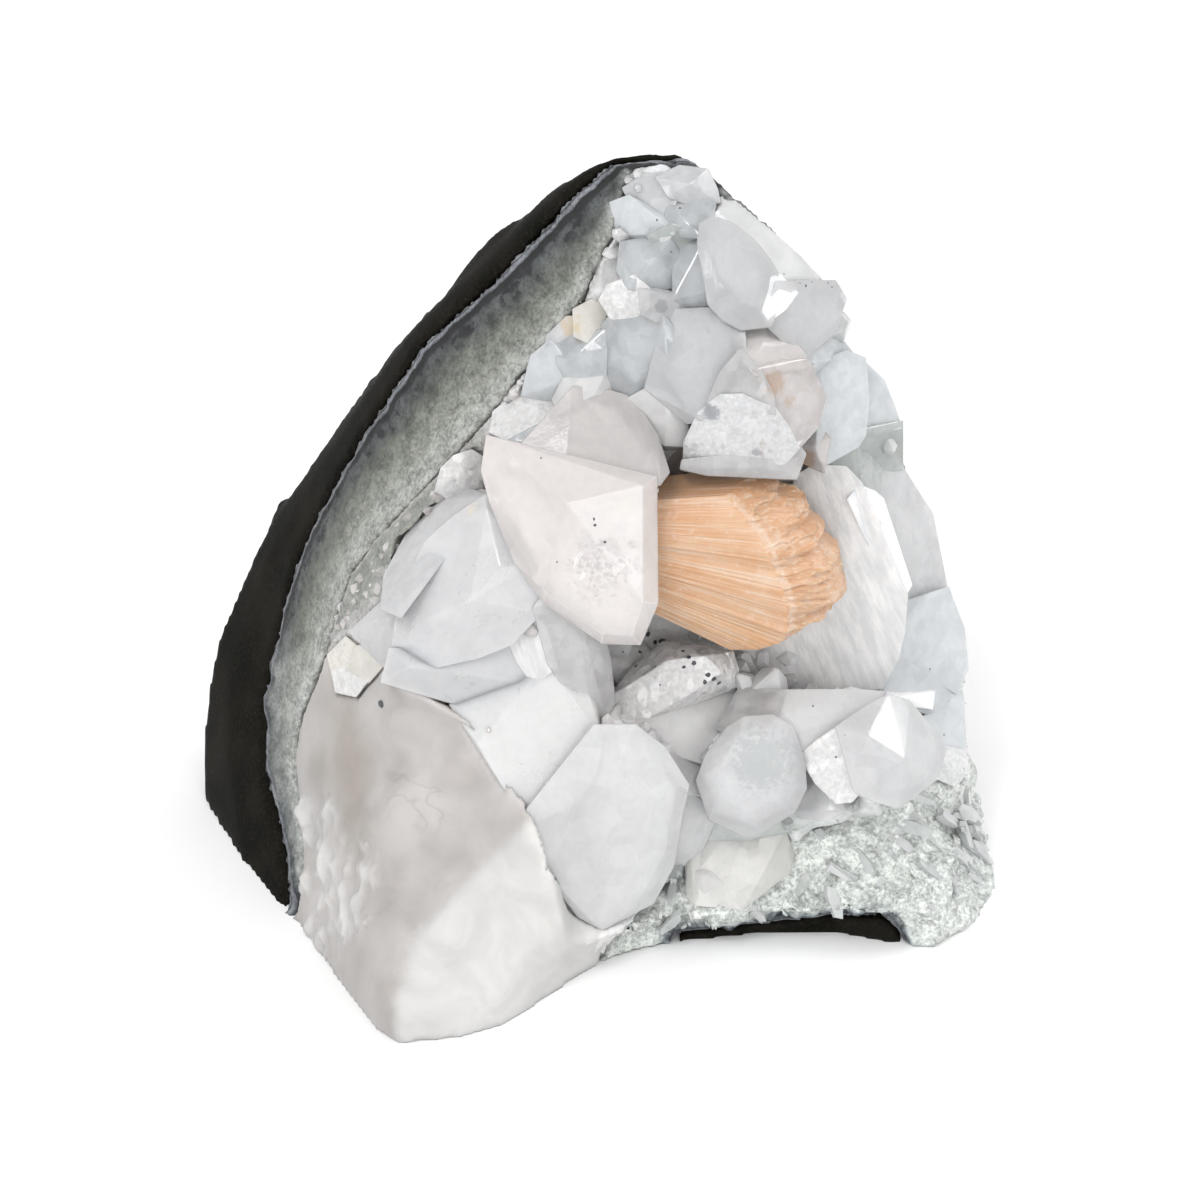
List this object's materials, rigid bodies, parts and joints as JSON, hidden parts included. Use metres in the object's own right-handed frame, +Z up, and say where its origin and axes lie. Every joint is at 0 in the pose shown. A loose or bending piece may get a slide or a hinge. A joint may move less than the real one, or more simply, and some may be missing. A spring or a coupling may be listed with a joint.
{
  "type": "apophyllite cluster",
  "caption": "Cut-base mineral specimen: clear to milky apophyllite crystals and a peach stilbite sheaf on grey rind and dark basalt.",
  "frame": {"origin": "on the flat ground base, near the middle of the plan", "axes": "+Z up from the base; +X to the right and -Y towards the viewer who faces the crystals"},
  "size_m": [0.1158, 0.0818, 0.108],
  "materials": {
    "apophyllite": "milky to clear",
    "stilbite": "pearly",
    "rind": "granular",
    "basalt": "ground"
  },
  "bodies": {
    "root": {"apophyllite_crystals": "apophyllite", "stilbite_sheaf": "stilbite", "zeolite_rind": "rind", "basalt_matrix": "basalt"}
  },
  "joints": []
}
